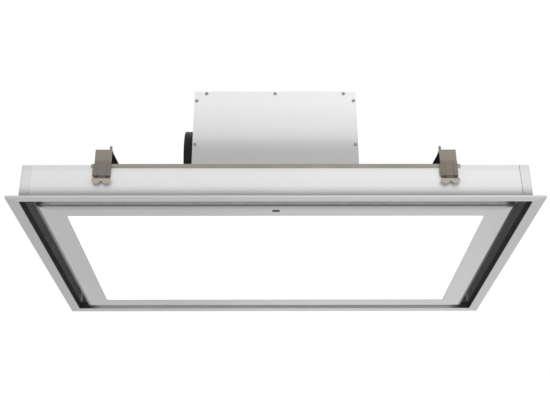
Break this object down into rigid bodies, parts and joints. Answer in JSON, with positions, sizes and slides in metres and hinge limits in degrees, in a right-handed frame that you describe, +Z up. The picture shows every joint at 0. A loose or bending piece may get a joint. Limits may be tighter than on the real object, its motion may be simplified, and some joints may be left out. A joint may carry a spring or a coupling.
{
  "type": "ceiling range hood",
  "caption": "Recessed rectangular ceiling hood with a lit, hinged centre panel, air slots round it, a sheet-metal casing with clamps and a blower box with a side duct collar.",
  "frame": {"origin": "middle of the rectangle that the trim frame's underside covers, which is the hood's visible face", "axes": "+X along the long side, -Y towards the edge with the sensor window, +Z up into the ceiling"},
  "size_m": [1.1, 0.7, 0.371],
  "materials": {
    "stainless": "fine brushed stainless sheet",
    "galvanised": "smooth galvanised sheet, faint spangle",
    "yellow_zinc": "zinc plate with a yellowish passivation",
    "filter_alloy": "bare aluminium, satin",
    "black_plastic": "matt black moulding",
    "tray_white": "white coated inside",
    "opal_plastic": "satin opal, lit from behind",
    "led_board": "white solder mask",
    "dark_window": "smoked, glossy",
    "circuit_board": "green solder mask",
    "zinc_steel": "bright zinc plate",
    "flap_alloy": "mill finish sheet",
    "impeller_steel": "galvanised, riveted",
    "motor_cast": "dark enamel",
    "capacitor_can": "drawn can"
  },
  "bodies": {
    "hood": {"trim_frame": "stainless", "casing_front": "galvanised", "casing_back": "galvanised", "casing_left_end": "galvanised", "casing_right_end": "galvanised", "casing_top": "galvanised", "rail_front": "yellow_zinc", "rail_back": "yellow_zinc", "filter_support": "galvanised", "hanger_plates": "galvanised", "filter_frame_left": "filter_alloy", "filter_frame_middle": "filter_alloy", "filter_frame_right": "filter_alloy", "filter_mesh_left": "filter_alloy", "filter_mesh_middle": "filter_alloy", "filter_mesh_right": "filter_alloy", "hinge_brackets": "zinc_steel", "hinge_pins": "zinc_steel", "catch_brackets": "zinc_steel", "catch_magnets": "black_plastic", "clamp_bolts": "zinc_steel", "bolt_retainers": "zinc_steel", "box_shell": "galvanised", "box_front_cover": "galvanised", "box_back_cover": "galvanised", "cover_screws": "zinc_steel", "outlet_collar": "black_plastic", "damper_pin": "zinc_steel", "scroll_wall": "galvanised", "scroll_front_plate": "galvanised", "scroll_back_plate": "galvanised", "scroll_feet": "galvanised", "motor": "motor_cast", "motor_bearings": "zinc_steel", "motor_bracket": "galvanised", "capacitor": "capacitor_can", "capacitor_clip": "galvanised", "control_box": "galvanised", "control_lid": "galvanised", "control_board": "circuit_board", "cable_gland": "black_plastic"},
    "panel": {"panel_frame": "stainless", "light_tray": "tray_white", "diffuser": "opal_plastic", "led_boards": "led_board", "sensor_window": "dark_window", "sensor_board": "circuit_board", "hinge_leaves": "zinc_steel", "strike_plates": "zinc_steel"},
    "latch_left": {"filter_latch_left": "black_plastic"},
    "latch_middle": {"filter_latch_middle": "black_plastic"},
    "latch_right": {"filter_latch_right": "black_plastic"},
    "clamp_front_left": {"clamp_front_left": "yellow_zinc"},
    "clamp_front_right": {"clamp_front_right": "yellow_zinc"},
    "clamp_back_left": {"clamp_back_left": "yellow_zinc"},
    "clamp_back_right": {"clamp_back_right": "yellow_zinc"},
    "flap_front": {"damper_flap_front": "flap_alloy"},
    "flap_back": {"damper_flap_back": "flap_alloy"},
    "rotor": {"impeller": "impeller_steel", "motor_shaft": "zinc_steel"}
  },
  "joints": [
    {"name": "panel_hinge", "type": "hinge", "parent": "hood", "child": "panel", "pos_m": [0, 0.291, 0.028], "axis": [1, 0, 0], "range_deg": [0, 90]},
    {"name": "latch_left_slide", "type": "slide", "parent": "hood", "child": "latch_left", "axis": [0, 1, 0], "range_m": [0, 0.01], "stiffness_N_per_m": 150, "springref_m": -0.01},
    {"name": "latch_middle_slide", "type": "slide", "parent": "hood", "child": "latch_middle", "axis": [0, 1, 0], "range_m": [0, 0.01], "stiffness_N_per_m": 150, "springref_m": -0.01},
    {"name": "latch_right_slide", "type": "slide", "parent": "hood", "child": "latch_right", "axis": [0, 1, 0], "range_m": [0, 0.01], "stiffness_N_per_m": 150, "springref_m": -0.01},
    {"name": "clamp_front_left_slide", "type": "slide", "parent": "hood", "child": "clamp_front_left", "axis": [0, 0, -1], "range_m": [0, 0.026]},
    {"name": "clamp_front_right_slide", "type": "slide", "parent": "hood", "child": "clamp_front_right", "axis": [0, 0, -1], "range_m": [0, 0.026]},
    {"name": "clamp_back_left_slide", "type": "slide", "parent": "hood", "child": "clamp_back_left", "axis": [0, 0, -1], "range_m": [0, 0.026]},
    {"name": "clamp_back_right_slide", "type": "slide", "parent": "hood", "child": "clamp_back_right", "axis": [0, 0, -1], "range_m": [0, 0.026]},
    {"name": "flap_front_hinge", "type": "hinge", "parent": "hood", "child": "flap_front", "pos_m": [-0.205, 0, 0.272], "axis": [0, 0, -1], "range_deg": [0, 75], "stiffness_Nm_per_rad": 0.02, "springref_deg": -17.19},
    {"name": "flap_back_hinge", "type": "hinge", "parent": "hood", "child": "flap_back", "pos_m": [-0.205, 0, 0.272], "axis": [0, 0, 1], "range_deg": [0, 75], "stiffness_Nm_per_rad": 0.02, "springref_deg": -17.19},
    {"name": "impeller_spin", "type": "hinge", "parent": "hood", "child": "rotor", "pos_m": [0.03, 0, 0.2], "axis": [0, -1, 0], "continuous": true}
  ]
}
